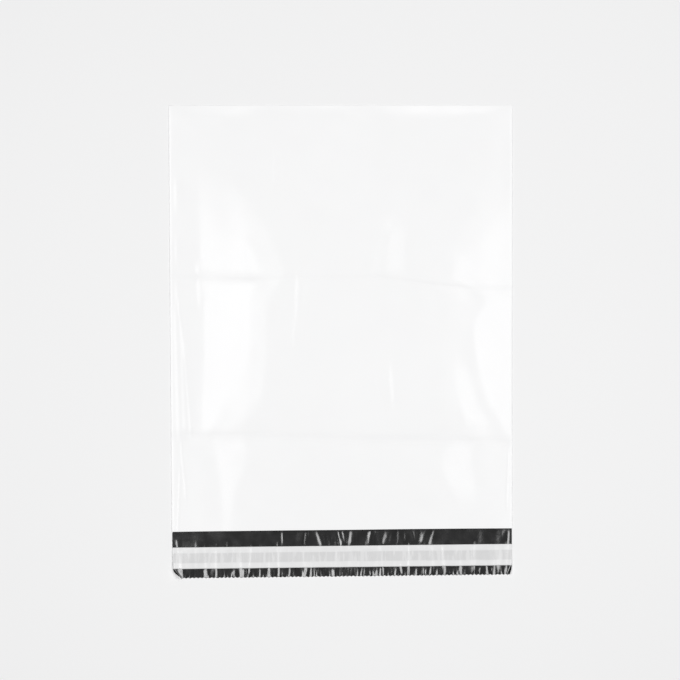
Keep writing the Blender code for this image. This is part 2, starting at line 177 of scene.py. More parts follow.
# Flap: its rise past the mouth, its pleats and how far their phase drifts along it, and its curled edges
FLAP_RISE = 0.0005
PLEAT_HEIGHT, PLEAT_PITCH, PLEAT_DRIFT = 0.00024, 0.031, 3
FINE_PLEAT_HEIGHT, FINE_PLEAT_PITCH, FINE_PLEAT_DRIFT = 0.00005, 0.0137, -2
CURL_RADIUS = 0.0032
LEFT_CURL, RIGHT_CURL = 0.004, 0.003
LEFT_CORNER_CURL, RIGHT_CORNER_CURL = 0.0055, 0.003
CORNER_HEIGHT = 0.011
TOOTH_PITCH, TOOTH_DEPTH = 0.004, 0.001
FLAP_CREASES = (
    (-0.0612, -0.0612, 0.0020, 0.0125, 0.0042, 0.0040, 0.074, 0.5),
    (-0.0394, -0.0413, 0.0010, 0.0180, 0.0052, 0.0056, 0.085, -0.5),
    (-0.0349, -0.0343, 0.0000, 0.0045, 0.0034, 0.0026, 0.066, 0.5),
    (-0.0258, -0.0198, 0.0010, 0.0180, 0.0056, 0.0088, 0.081, 0.5),
    (-0.0069, -0.0051, 0.0050, 0.0180, 0.0034, 0.0048, 0.076, -0.5),
    (-0.0038, -0.0002, 0.0020, 0.0180, 0.0038, 0.0046, 0.099, 0.5),
    (0.0004, 0.0030, 0.0000, 0.0120, 0.0048, 0.0040, 0.095, 0.5),
    (0.0070, 0.0052, 0.0000, 0.0180, 0.0056, 0.0056, 0.089, -0.5),
    (0.0295, 0.0263, 0.0000, 0.0190, 0.0068, 0.0096, 0.090, 0.5),
    (0.0329, 0.0323, 0.0000, 0.0045, 0.0040, 0.0030, 0.066, -0.5),
    (0.0430, 0.0389, 0.0000, 0.0150, 0.0070, 0.0070, 0.058, -0.5),
    (0.0552, 0.0540, 0.0010, 0.0190, 0.0052, 0.0056, 0.060, -0.5),
    (0.0715, 0.0733, 0.0010, 0.0110, 0.0050, 0.0050, 0.066, -0.5),
    (0.0797, 0.0763, 0.0010, 0.0200, 0.0060, 0.0080, 0.058, -0.5),
    (0.0925, 0.0866, 0.0010, 0.0180, 0.0046, 0.0064, 0.061, -0.5),
    (0.1400, 0.1390, 0.0020, 0.0160, 0.0080, 0.0080, 0.020, -0.5),
    (0.1585, 0.1578, 0.0020, 0.0160, 0.0080, 0.0080, 0.022, -0.5),
    (0.1650, 0.1640, 0.0010, 0.0060, 0.0080, 0.0060, 0.036, -0.5),
    (-0.1640, -0.1625, 0.0380, 0.0500, 0.0038, 0.0070, 0.044, 0.5),
    (-0.1497, -0.1497, 0.0120, 0.0500, 0.0034, 0.0048, 0.037, 0.5),
    (-0.1413, -0.1383, 0.0140, 0.0500, 0.0022, 0.0064, 0.053, 0.5),
    (-0.1292, -0.1292, 0.0140, 0.0500, 0.0018, 0.0054, 0.052, 0.5),
    (-0.1178, -0.1178, 0.0120, 0.0500, 0.0029, 0.0042, 0.051, 0.5),
    (-0.1046, -0.1028, 0.0160, 0.0500, 0.0018, 0.0048, 0.062, 0.5),
    (-0.0931, -0.0961, 0.0160, 0.0500, 0.0027, 0.0048, 0.069, 0.5),
    (-0.0841, -0.0841, 0.0150, 0.0500, 0.0016, 0.0040, 0.067, 0.5),
    (-0.0793, -0.0793, 0.0430, 0.0500, 0.0011, 0.0040, 0.098, -0.5),
    (-0.0744, -0.0753, 0.0180, 0.0500, 0.0018, 0.0042, 0.065, 0.5),
    (-0.0666, -0.0642, 0.0130, 0.0500, 0.0025, 0.0054, 0.075, 0.5),
    (-0.0552, -0.0569, 0.0400, 0.0500, 0.0022, 0.0048, 0.098, -0.5),
    (-0.0485, -0.0485, 0.0440, 0.0500, 0.0009, 0.0038, 0.075, 0.5),
    (-0.0455, -0.0455, 0.0440, 0.0500, 0.0009, 0.0035, 0.091, -0.5),
    (-0.0413, -0.0388, 0.0400, 0.0500, 0.0020, 0.0048, 0.073, 0.5),
    (-0.0328, -0.0346, 0.0200, 0.0500, 0.0022, 0.0042, 0.095, -0.5),
    (-0.0262, -0.0262, 0.0410, 0.0500, 0.0010, 0.0048, 0.080, 0.5),
    (-0.0202, -0.0202, 0.0400, 0.0500, 0.0010, 0.0048, 0.091, -0.5),
    (-0.0124, -0.0093, 0.0210, 0.0500, 0.0018, 0.0038, 0.081, 0.5),
    (-0.0039, -0.0039, 0.0220, 0.0500, 0.0025, 0.0051, 0.092, -0.5),
    (0.0034, 0.0021, 0.0380, 0.0500, 0.0016, 0.0032, 0.081, 0.5),
    (0.0082, 0.0064, 0.0380, 0.0500, 0.0016, 0.0035, 0.080, -0.5),
    (0.0173, 0.0160, 0.0160, 0.0500, 0.0025, 0.0029, 0.090, 0.5),
    (0.0215, 0.0202, 0.0380, 0.0500, 0.0020, 0.0035, 0.077, -0.5),
    (0.0269, 0.0287, 0.0240, 0.0500, 0.0016, 0.0035, 0.083, 0.5),
    (0.0347, 0.0347, 0.0380, 0.0500, 0.0017, 0.0029, 0.091, -0.5),
    (0.0395, 0.0395, 0.0380, 0.0500, 0.0047, 0.0054, 0.099, 0.5),
    (0.0497, 0.0497, 0.0420, 0.0500, 0.0011, 0.0048, 0.079, -0.5),
    (0.0552, 0.0564, 0.0180, 0.0500, 0.0020, 0.0038, 0.069, -0.5),
    (0.0576, 0.0618, 0.0380, 0.0500, 0.0022, 0.0048, 0.107, 0.5),
    (0.0672, 0.0655, 0.0140, 0.0500, 0.0031, 0.0042, 0.071, -0.5),
    (0.0763, 0.0763, 0.0420, 0.0500, 0.0011, 0.0048, 0.073, -0.5),
    (0.0811, 0.0823, 0.0170, 0.0500, 0.0017, 0.0035, 0.064, -0.5),
    (0.0902, 0.0877, 0.0380, 0.0500, 0.0027, 0.0048, 0.073, -0.5),
    (0.0962, 0.0962, 0.0410, 0.0500, 0.0011, 0.0051, 0.068, -0.5),
    (0.1016, 0.1034, 0.0200, 0.0500, 0.0029, 0.0090, 0.067, -0.5),
    (0.1094, 0.1094, 0.0420, 0.0500, 0.0011, 0.0048, 0.065, -0.5),
    (0.1143, 0.1167, 0.0170, 0.0500, 0.0026, 0.0048, 0.064, -0.5),
    (0.1197, 0.1209, 0.0240, 0.0500, 0.0018, 0.0048, 0.059, -0.5),
    (0.1257, 0.1257, 0.0420, 0.0500, 0.0011, 0.0048, 0.057, -0.5),
    (0.1318, 0.1318, 0.0180, 0.0500, 0.0022, 0.0048, 0.040, -0.5),
    (0.1384, 0.1384, 0.0410, 0.0500, 0.0011, 0.0054, 0.054, -0.5),
    (0.1420, 0.1420, 0.0420, 0.0500, 0.0016, 0.0038, 0.046, -0.5),
    (0.1474, 0.1480, 0.0380, 0.0500, 0.0038, 0.0067, 0.048, -0.5),
    (0.1560, 0.1550, 0.0160, 0.0500, 0.0022, 0.0038, 0.032, -0.5),
    (0.1631, 0.1631, 0.0440, 0.0500, 0.0011, 0.0048, 0.048, -0.5),
    (-0.1695, -0.1645, 0.010, 0.042, 0.0030, 0.0030, 0.080, 0.5),
    (0.1705, 0.1680, 0.004, 0.044, 0.0030, 0.0030, 0.080, -0.5),
)
FLAP_CREASE_FADE = 0.0025
# Creases start from nothing at the mouth, over this share of the flap
FLAP_CREASE_START = 0.04
# The liner stiffens the film under it, which flattens the creases there
LINER_SHARE, LINER_SHARE_BLEND = 0.65, 0.002

# Fine creases drawn at random. Each series runs across the flap from one x to another, at a usual pitch
# times a random step. Each crease has a half width and its growth to the other end, a lean, a start from
# the mouth, a length where it ends above the liner, and a tilt that may differ from the middle outwards
FLAP_SEED = 11
PAST_CUT_EDGE = 0.050
ABOVE_LINER = {"from_x": -0.020, "to_x": 0.090, "pitch": 0.0050, "steps": (0.6, 1.4),
               "widths": (0.0026, 0.0050), "growth": 1.2, "lean": 0.0008, "starts": (0.001, 0.010),
               "lengths": (0.006, 0.014), "tilts": (0.020, 0.052)}
ACROSS_LINER = {"from_x": -0.165, "to_x": 0.170, "pitch": 0.0085, "steps": (0.7, 1.3),
                "widths": (0.0040, 0.0080), "growth": 0.7, "lean": 0.0012, "starts": (0.014, 0.022),
                "tilts": (0.030, 0.070)}
BELOW_LINER = {"from_x": -0.168, "to_x": 0.170, "pitch": 0.0034, "steps": (0.6, 1.4),
               "widths": (0.0022, 0.0044), "growth": 1.1, "lean": 0.0006, "starts": (0.036, 0.044),
               "tilts": (0.020, 0.070), "middle": 1.5, "fall": 5}
# Puckers over the teeth: spread of their x, length, half width at either end, and tilts with their chances
PUCKER_SPREAD, PUCKER_LENGTHS, PUCKER_WIDTHS = 0.0003, (0.0020, 0.0050), (0.0005, 0.0021)
PUCKER_TILTS, PUCKER_CHANCES = (0.0, 0.10, 0.15), (0.25, 0.25, 0.5)

# Closure on the flap
LAYER_GAP = 0.00008
GLUE_THICKNESS = 0.0001
LINER_THICKNESS = 0.00005

# Weld beads: height of their centre line, how far they run past the mouth, and the tree's inputs
BEAD_LIFT = 0.00037
BEAD_PAST_MOUTH = 0.0008
BEAD_SIZES = {"Bead radius": BEAD_WIDTH / 2, "Unevenness": 0.25, "Spacing": 0.0012}
BEAD_SEED = 3

# Mesh density
COLUMNS = 260
FRONT_ROWS = (38, 36, 26)
REAR_COLUMNS = COLUMNS // 5
REAR_ROWS = 12
FOLD_STEPS = 5
FLAP_COLUMNS = 2 * COLUMNS
FLAP_ROWS = 38
FLAP_ROW_CROWDING = 1.25
COLUMNS_PER_TOOTH = 6
ROWS_OF_TEETH = 4
EDGE_CROWDING = 0.55
GLUE_ROWS, LINER_ROWS = 8, 20
BEAD_POINTS, BEAD_SIDES = 60, 8

# Finishes: two colours that each one varies between, and what else it needs
WHITE_COLOURS = (0.902, 0.902, 0.905), (0.918, 0.918, 0.921)
# The creases' mark: a darker colour that is painted shade, and the added roughness of their wear
PAINTED_CREASE_SHADE_COLOUR, WORN_ROUGHNESS = (0.855, 0.855, 0.859), 0.20
DARK_COLOURS = (0.009, 0.009, 0.0093), (0.013, 0.013, 0.0134)
LINER_COLOUR, GLUED_LINER_COLOUR = (0.78, 0.78, 0.783), (0.665, 0.665, 0.668)
GLUE_COLOURS = (0.50, 0.50, 0.48), (0.60, 0.60, 0.57)
TABLE_COLOURS = (0.866, 0.866, 0.868), (0.886, 0.886, 0.888)
# Cloudy noise mostly stays between these values
NOISE_LOW, NOISE_HIGH = 0.3, 0.7
# Scales of the film's fine roughness and of its dimples
FINE_SCALE, DIMPLE_SCALE = 420.0, 60.0
# Softness of the glue's edges under the liner, and how far they wander
GLUE_EDGE, GLUE_WANDER = 0.0008, 0.0012

# Camera: it looks down on the bag, a little from above its closed end and from its left
CAMERA_DISTANCE = 2.2
CAMERA_TO_LEFT = math.radians(2.83)
CAMERA_TO_CLOSED_END = math.radians(3.0)
CAMERA_ROLL = math.radians(-0.21)
IMAGE_PIXELS = 680
PIXELS_PER_METRE = 979.0
ORIGIN_PIXEL = (342.0, 342.2)
SENSOR = 36.0

# Softboxes: angle from straight above the bag, width and length, and radiance
SOFTBOX_DISTANCE = 2.4
SIDE_SOFTBOX_ANGLE = math.radians(24)
SIDE_SOFTBOX_Y = -0.12
SIDE_SOFTBOX = (0.78, 1.8)
LEFT_RADIANCE, RIGHT_RADIANCE = 6.65, 5.55
FAR_SOFTBOX_ANGLE = math.radians(24)
FAR_SOFTBOX_X = 0.17
FAR_SOFTBOX = (0.72, 0.4)
FAR_RADIANCE = 8.5
# Brightness of the even surround, and of what the camera sees of it
SURROUND = 0.127
SURROUND_SEEN = 0.92

# Half the width of the table, and its gap below the bag
TABLE_HALF, TABLE_GAP = 4.0, 0.00005


def soft_step(t):
    """Goes softly from 0 at t = 0 to 1 at t = 1."""
    t = np.clip(t, 0.0, 1.0)
    return t * t * (3 - 2 * t)


def shoulder(t):
    """Rises at once from 0 at t = 0, and rounds off to 1 at t = 1."""
    return np.sin(math.pi / 2 * np.clip(t, 0.0, 1.0))


def bump(distance, width):
    """1 at distance 0, falling away over the width."""
    return np.exp(-((distance / width) ** 2))


def between(value, start, end, blend):
    """1 between start and end, fading over the blend length outside them."""
    return soft_step((value - start) / blend + 1) * soft_step((end - value) / blend + 1)


def ripples(x, y, seed, shortest, longest, height):
    """Gentle uneven waves of the film, the sum of a few plane waves."""
    draw = np.random.default_rng(seed)
    total = np.zeros(np.broadcast(x, y).shape)
    for _ in range(WAVES_IN_A_SUM):
        length = draw.uniform(shortest, longest)
        turn = draw.uniform(0, math.pi)
        phase = draw.uniform(0, 2 * math.pi)
        along = x * math.cos(turn) + y * math.sin(turn)
        total += length / longest * np.sin(2 * math.pi * along / length + phase)
    return height * total / math.sqrt(WAVES_IN_A_SUM)


def crease_distance(crease, x):
    """Distance of one crease from the closed end."""
    left, right, further = crease[:3]
    bend_start, bend_end = CREASE_BEND
    bent = further * soft_step((x - bend_start) / (bend_end - bend_start))
    return left + (right - left) * (x + SIDE) / (2 * SIDE) + bent


def station(table, column, distance):
    """What the table's column gives at this distance from the closed end, with its bends rounded."""
    places, values = [row[0] for row in table], [row[column] for row in table]
    offsets = np.linspace(-STATION_ROUNDING, STATION_ROUNDING, STATION_SAMPLES)
    return sum(np.interp(distance + offset, places, values) for offset in offsets) / len(offsets)


def corner(t, radius):
    """Zero below t = 0 and t above it, with the corner rounded."""
    return (t + np.sqrt(t * t + radius * radius)) / 2


def tent(off, skew):
    """A ridge of height 1 and half width 1 with straight flanks, one steeper than the other."""
    near, far = 1 - skew, 1 + skew
    middle = corner(off, RIDGE_ROUNDING)
    rising = (corner(off + near, RIDGE_ROUNDING) - middle) / near
    return rising - (middle - corner(off - far, RIDGE_ROUNDING)) / far


def crease_height(x, place, line, fade):
    """Height of one lengthwise crease at x and at this place along the film."""
    x_start, x_end, start, end, width_start, width_end, tilt, skew = line
    share = np.clip((place - start) / (end - start), 0.0, 1.0)
    width = width_start + (width_end - width_start) * share
    off = (x - x_start - (x_end - x_start) * share) / width
    return tilt * width * tent(off, skew) * between(place, start, end, fade)


def soft_ramp(x, start, end):
    """Rises evenly by one for each unit of x between start and end, with rounded corners."""
    return corner(x - start, STRETCH_EDGE) - corner(x - end, STRETCH_EDGE)


def even_rise(x, side, crest_x):
    """Rises evenly from 0 at one side weld to 1 at the crest and beyond it."""
    outwards = np.maximum(side * (x - crest_x), 0)
    whole = np.hypot(SIDE - side * crest_x, CREST_ROUNDING) - CREST_ROUNDING
    return 1 - (np.hypot(outwards, CREST_ROUNDING) - CREST_ROUNDING) / whole


def side_rise(x, distance, stretches, side, crest, crest_x):
    """Height gained from one side weld inwards: its steeper stretches, and an even rise to the crest."""
    steep, gained = 0.0, 0.0
    for table in stretches:
        start, end, slope = (station(table, column, distance) for column in (1, 2, 3))
        near, far = (start, end) if side < 0 else (-end, -start)
        steep = steep + slope * soft_ramp(-side * x, near, far)
        gained = gained + slope * (end - start)
    return steep + (crest - gained) * even_rise(x, side, crest_x)


def end_roll(x, distance):
    """The film's roll just inside the fold at the closed end."""
    narrow = END_ROLL_SLOPE * END_ROLL_REACH * (1 - np.exp(-distance / END_ROLL_REACH))
    narrow = narrow * soft_step(1 - distance / END_ROLL_FADE)
    wide = soft_ramp(distance, 0.0, WIDE_ROLL_REACH) - soft_ramp(0.0, 0.0, WIDE_ROLL_REACH)
    left_over = (WIDE_ROLL_END - distance) / (WIDE_ROLL_END - WIDE_ROLL_REACH)
    wide = WIDE_ROLL_SLOPE * wide * soft_step(left_over)
    share = 0.0
    for start, end in (RIGHT_ROLL_FROM, LEFT_ROLL_FROM):
        share = share + soft_step((x - start) / (end - start))
    return (narrow + (wide - narrow) * share) * shoulder((SIDE - np.abs(x)) / ROLL_SIDE_FADE)


def crumpling(x, distance):
    """Uneven waves of the film, stronger around its crumpled places."""
    more = 1.0
    for place_x, place, radius, amount in CRUMPLED_PLACES:
        more = more + amount * bump(np.hypot(x - place_x, distance - place), radius)
    waves = ripples(x, distance, WAVE_SEED, *WAVE_LENGTHS, WAVE_HEIGHT)
    return waves + more * ripples(x, distance, CRUMPLE_SEED, *CRUMPLE_LENGTHS, CRUMPLE_HEIGHT)


def front_rise(x, distance):
    """Height of the front panel above its welded edges."""
    crest, crest_x = station(CREST, 1, distance), station(CREST, 2, distance)
    left = side_rise(x, distance, LEFT_STRETCHES, -1, crest, crest_x)
    right = side_rise(x, distance, RIGHT_STRETCHES, 1, crest, crest_x)
    rise = left + right - crest + end_roll(x, distance)
    inside = shoulder(distance / FADE_FROM_END) * shoulder((SIDE - np.abs(x)) / FADE_FROM_SIDE)
    for crease in CREASES:
        valley, groove, groove_width = crease[3:]
        off = np.abs(distance - crease_distance(crease, x))
        rise = rise - inside * (valley * np.exp(-off / CREASE_SPREAD) + groove * bump(off, groove_width))
    for line in PANEL_CREASES:
        rise = rise + crease_height(x, distance, line, PANEL_CREASE_FADE)
    inwards = np.maximum(SIDE - BEAD_WIDTH - np.abs(x), 0)
    side_roll = SIDE_ROLL * (1 - np.exp(-inwards / SIDE_ROLL_REACH))
    rise = rise + side_roll * shoulder(distance / SIDE_ROLL_FROM_END)
    return np.maximum(rise + inside * crumpling(x, distance), 0.0)


def front_points(x, distance):
    """The front panel. Its slack pulls the middle of its hem back a little."""
    z = 2 * FOLD_RADIUS + front_rise(x, distance)
    pulled = HEM_PULL * soft_step((distance - HEM_PULL_FROM) / (POCKET_LENGTH - HEM_PULL_FROM))
    return np.stack([x, Y_CLOSED - distance + pulled * (1 - (x / SIDE) ** 2), z], axis=-1)


def random_creases(draw, from_x, to_x, pitch, steps, widths, growth, lean, starts, tilts, lengths=None,
                   middle=1.0, fall=0.0):
    """One series of fine creases, drawn at random within these ranges."""
    made = []
    x = from_x
    while x < to_x:
        width = draw.uniform(*widths)
        leaning = draw.normal(0, lean)
        start = draw.uniform(*starts)
        end = start + draw.uniform(*lengths) if lengths else PAST_CUT_EDGE
        tilt = draw.uniform(*tilts) * (middle - fall * abs(x))
        skew = draw.choice((-0.5, 0.5))
        made.append((x - leaning, x + leaning, start, end, width, width * growth, tilt, skew))
        x += pitch * draw.uniform(*steps)
    return made


def puckers(draw):
    """A small pucker over most teeth of the cut edge."""
    made = []
    for i in range(int(2 * SIDE / TOOTH_PITCH)):
        x = (i + 0.5) * TOOTH_PITCH - SIDE + draw.normal(0, PUCKER_SPREAD)
        length = draw.uniform(*PUCKER_LENGTHS)
        tilt = draw.choice(PUCKER_TILTS, p=PUCKER_CHANCES)
        made.append((x, x, FLAP_LENGTH - length, PAST_CUT_EDGE, *PUCKER_WIDTHS, tilt, 0.0))
    return made


def random_flap_creases():
    """Fine creases above the liner and across it, puckers over the teeth, and creases below the liner."""
    draw = np.random.default_rng(FLAP_SEED)
    made = random_creases(draw, **ABOVE_LINER) + random_creases(draw, **ACROSS_LINER)
    return made + puckers(draw) + random_creases(draw, **BELOW_LINER)


ALL_FLAP_CREASES = FLAP_CREASES + tuple(random_flap_creases())


def flap_height(x, y):
    """Height of the open flap above the table, at its outer side."""
    from_mouth = Y_MOUTH - y
    along = np.clip(from_mouth / FLAP_LENGTH, 0, 1)
    pleat = PLEAT_HEIGHT * (1 + np.sin(2 * math.pi * x / PLEAT_PITCH + PLEAT_DRIFT * along))
    fine_phase = 2 * math.pi * x / FINE_PLEAT_PITCH + FINE_PLEAT_DRIFT * along
    fine = FINE_PLEAT_HEIGHT * (1 + np.sin(fine_phase))
    creases = sum(crease_height(x, from_mouth, line, FLAP_CREASE_FADE) for line in ALL_FLAP_CREASES)
    under_liner = between(y, LINER_LOW[1], LINER_HIGH[1], LINER_SHARE_BLEND)
    creases = creases * (1 - (1 - LINER_SHARE) * under_liner) * soft_step(along / FLAP_CREASE_START)
    return soft_step(along) * (FLAP_RISE + pleat + fine) + creases


def curled(x, z, y, side, curl, corner_curl):
    """Rolls the flap's side edge up about a line that runs further in towards the cut edge."""
    along = np.clip((Y_MOUTH - y) / FLAP_LENGTH, 0, 1)
    corner = soft_step((Y_FREE + CORNER_HEIGHT - y) / CORNER_HEIGHT)
    past = np.maximum(side * x - (FILM_SIDE - curl * along - corner_curl * corner), 0)
    turned = past / CURL_RADIUS
    x = x - side * past + side * CURL_RADIUS * np.sin(turned)
    return x, z + CURL_RADIUS * (1 - np.cos(turned))


def flap_points(x, y):
    """The open flap at its outer side, with its side edges curled up."""
    z = flap_height(x, y)
    x, z = curled(x, z, y, -1, LEFT_CURL, LEFT_CORNER_CURL)
    x, z = curled(x, z, y, 1, RIGHT_CURL, RIGHT_CORNER_CURL)
    return np.stack([x, y + 0 * x, z], axis=-1)


def rear_points(x, y):
    """The rear panel lies on the table, with a little slack in its middle."""
    inside = shoulder((SIDE - np.abs(x)) / REAR_FADE_SIDE)
    inside = inside * shoulder((Y_FOLD - y) / REAR_FADE_END) * shoulder((y - Y_MOUTH) / REAR_FADE_END)
    wave = ripples(x, y, REAR_SEED, *REAR_LENGTHS, REAR_HEIGHT)
    return np.stack([x, y + 0 * x, inside * np.maximum(wave, 0)], axis=-1)


def fold_points(x, angle):
    """The round fold at the closed end, from 0 at the rear panel to half a turn at the front one."""
    y = np.full_like(x, Y_FOLD + FOLD_RADIUS * math.sin(angle))
    return np.stack([x, y, np.full_like(x, FOLD_RADIUS * (1 - math.cos(angle)))], axis=-1)


def crowded(steps):
    """Shares from 0 to just under 1, closer together at both ends."""
    return (1 - np.cos(math.pi * np.arange(steps) / steps)) / 2


def column_places(count):
    """X of the film's columns, closer together near its sides."""
    u = np.linspace(-1, 1, count + 1)
    return FILM_SIDE * ((1 - EDGE_CROWDING) * u + EDGE_CROWDING * np.sin(math.pi / 2 * u))


def flap_rows():
    """Rows of the flap from the toothed cut edge to the mouth."""
    x = np.linspace(-FILM_SIDE, FILM_SIDE, FLAP_COLUMNS + 1)
    tooth = np.abs((np.arange(FLAP_COLUMNS + 1) / COLUMNS_PER_TOOTH) % 1 - 0.5) * 2
    rows = []
    for step in np.linspace(0, 1, FLAP_ROWS + 1):
        up = step ** FLAP_ROW_CROWDING
        notch = TOOTH_DEPTH * tooth * max(0, 1 - step * FLAP_ROWS / ROWS_OF_TEETH)
        y = Y_FREE + FLAP_LENGTH * up + notch
        rows.append(flap_points(x, y))
    return rows


def pocket_rows():
    """Rows of the rear panel, the closed fold and the front panel, from mouth to mouth."""
    even_x = np.linspace(-FILM_SIDE, FILM_SIDE, REAR_COLUMNS + 1)
    crowded_x = column_places(REAR_COLUMNS)
    rows = []
    for share in np.linspace(0, 1, REAR_ROWS + 2)[1:-1]:
        x = even_x + (crowded_x - even_x) * soft_step(share)
        rows.append(rear_points(x, Y_MOUTH + (Y_FOLD - Y_MOUTH) * share))
    x = column_places(COLUMNS)
    rows += [fold_points(x, angle) for angle in np.linspace(0, math.pi, FOLD_STEPS + 1)[:-1]]
    edges = [np.full_like(x, FOLD_RADIUS)]
    edges += [crease_distance(crease, x) for crease in CREASES]
    edges += [np.full_like(x, POCKET_LENGTH)]
    for upper, lower, count in zip(edges, edges[1:], FRONT_ROWS):
        rows += [front_points(x, upper + (lower - upper) * part) for part in crowded(count)]
    rows.append(front_points(x, edges[-1]))
    return rows


def faces_between(first, first_count, second, second_count):
    """Faces between two rows of points, outer side out; one row may have several times the columns."""
    few = min(first_count, second_count)
    each_first, each_second = first_count // few, second_count // few
    faces = []
    for i in range(few):
        near = [first + each_first * i + k for k in range(each_first + 1)]
        far = [second + each_second * i + k for k in range(each_second + 1)]
        if each_first == each_second:
            faces.append([near[0]] + far + near[:0:-1])
        elif each_second > 1:
            middle = each_second // 2
            faces += [(near[0], far[k], far[k + 1]) for k in range(middle)]
            faces.append((near[0], far[middle], near[1]))
            faces += [(near[1], far[k], far[k + 1]) for k in range(middle, each_second)]
        else:
            middle = each_first // 2
            faces += [(near[k], far[0], near[k + 1]) for k in range(middle)]
            faces.append((near[middle], far[0], far[1]))
            faces += [(near[k], far[1], near[k + 1]) for k in range(middle, each_first)]
    return faces


def mesh_from(name, points, faces):
    """A smooth mesh of these points and faces."""
    mesh = bpy.data.meshes.new(name)
    mesh.from_pydata([tuple(p) for p in points], [], faces)
    mesh.update()
    mesh.shade_smooth()
    return mesh


def row_mesh(name, rows):
    """A sheet through rows of points."""
    starts = np.cumsum([0] + [len(row) for row in rows])
    faces = []
    for i in range(len(rows) - 1):
        faces += faces_between(starts[i], len(rows[i]) - 1, starts[i + 1], len(rows[i + 1]) - 1)
    return mesh_from(name, np.concatenate(rows), faces)


def add_piece(name, mesh, *materials):
    """Puts a piece with this mesh and these materials into the scene."""
    piece = bpy.data.objects.new(name, mesh)
    bpy.context.scene.collection.objects.link(piece)
    for each in materials:
        piece.data.materials.append(each)
    return piece


def made_plain(piece):
    """Replaces a piece's modifiers by the mesh that they make."""
    graph = bpy.context.evaluated_depsgraph_get()
    mesh = bpy.data.meshes.new_from_object(piece.evaluated_get(graph))
    piece.modifiers.clear()
    piece.data = mesh
    piece.data.shade_smooth()
    return piece


def film_piece(white, dark):
    """The bag's one web of film, white outside and dark inside."""
    mesh = row_mesh("poly_mailer_film", flap_rows() + pocket_rows())
    piece = add_piece("poly_mailer_film", mesh, white, dark)
    wall = piece.modifiers.new("film thickness", "SOLIDIFY")
    wall.thickness = FILM_THICKNESS
    wall.offset = -1
    wall.material_offset = 1
    return made_plain(piece)


def strip_piece(name, low, high, rows, lift, thickness, finish):
    """A strip across the flap that follows it at this height above its inner face."""
    x = np.linspace(-FILM_SIDE, FILM_SIDE, FLAP_COLUMNS + 1)
    mesh = row_mesh(name, [flap_points(x, np.full_like(x, y)) for y in np.linspace(low, high, rows + 1)])
    offset = FILM_THICKNESS + lift + thickness
    places = [vertex.co - vertex.normal * offset for vertex in mesh.vertices]
    for vertex, place in zip(mesh.vertices, places):
        vertex.co = place
    piece = add_piece(name, mesh, finish)
    wall = piece.modifiers.new("strip thickness", "SOLIDIFY")
    wall.thickness = thickness
    wall.offset = 1
    return made_plain(piece)


class Nodes:
    """Adds the nodes of one tree and links them, with each node's inputs given by name."""

    def __init__(self, tree):
        self.tree = tree

    def add(self, kind, settings=None, **inputs):
        node = self.tree.nodes.new(kind)
        for name, value in (settings or {}).items():
            setattr(node, name, value)
        for name, value in inputs.items():
            self.put(node.inputs[name.replace("_", " ")], value)
        return node

    def put(self, socket, value):
        if isinstance(value, bpy.types.NodeSocket):
            self.tree.links.new(value, socket)
        else:
            socket.default_value = value

    def math(self, operation, first, second=0.0, third=0.0):
        node = self.tree.nodes.new("ShaderNodeMath")
        node.operation = operation
        for socket, value in zip(node.inputs, (first, second, third)):
            self.put(socket, value)
        return node.outputs[0]


def new_material(name):
    """A material, its nodes, its shader, and the place of each point on the piece."""
    material = bpy.data.materials.new(name)
    material.use_nodes = True
    nodes = Nodes(material.node_tree)
    shader = material.node_tree.nodes["Principled BSDF"]
    place = nodes.add("ShaderNodeTexCoord").outputs["Object"]
    return material, nodes, shader, place


def noise(nodes, place, scale, detail=2.0):
    """Cloudy noise."""
    node = nodes.add("ShaderNodeTexNoise", Vector=place, Scale=scale, Detail=detail, Roughness=0.5)
    return node.outputs["Fac"]


def mixed(nodes, factor, first, second):
    """Mixes two colours. Each is given as red, green and blue, or as a socket."""
    node = nodes.add("ShaderNodeMix", {"data_type": "RGBA"}, Factor=factor)
    for name, colour in (("A", first), ("B", second)):
        nodes.put(node.inputs[name], (*colour, 1) if isinstance(colour, tuple) else colour)
    return node.outputs["Result"]


def spread(nodes, value, low, high):
    """Stretches a noise value to the range from low to high."""
    node = nodes.add("ShaderNodeMapRange", Value=value, From_Min=NOISE_LOW, From_Max=NOISE_HIGH,
                     To_Min=low, To_Max=high)
    return node.outputs["Result"]


def smooth_range(nodes, value, start, end, low, high):
    """Goes softly from low at start to high at end."""
    node = nodes.add("ShaderNodeMapRange", {"interpolation_type": "SMOOTHSTEP"}, Value=value,
                     From_Min=start, From_Max=end, To_Min=low, To_Max=high)
    return node.outputs["Result"]


def film_bump(nodes, shader, place, fine_depth, dimple_depth):
    """Fine roughness and shallow dimples."""
    fine = nodes.add("ShaderNodeBump", Height=noise(nodes, place, scale=FINE_SCALE, detail=3.0),
                     Distance=fine_depth, Strength=1.0)
    dimples = nodes.add("ShaderNodeBump", Height=noise(nodes, place, scale=DIMPLE_SCALE),
                        Distance=dimple_depth, Strength=1.0, Normal=fine.outputs["Normal"])
    nodes.put(shader.inputs["Normal"], dimples.outputs["Normal"])


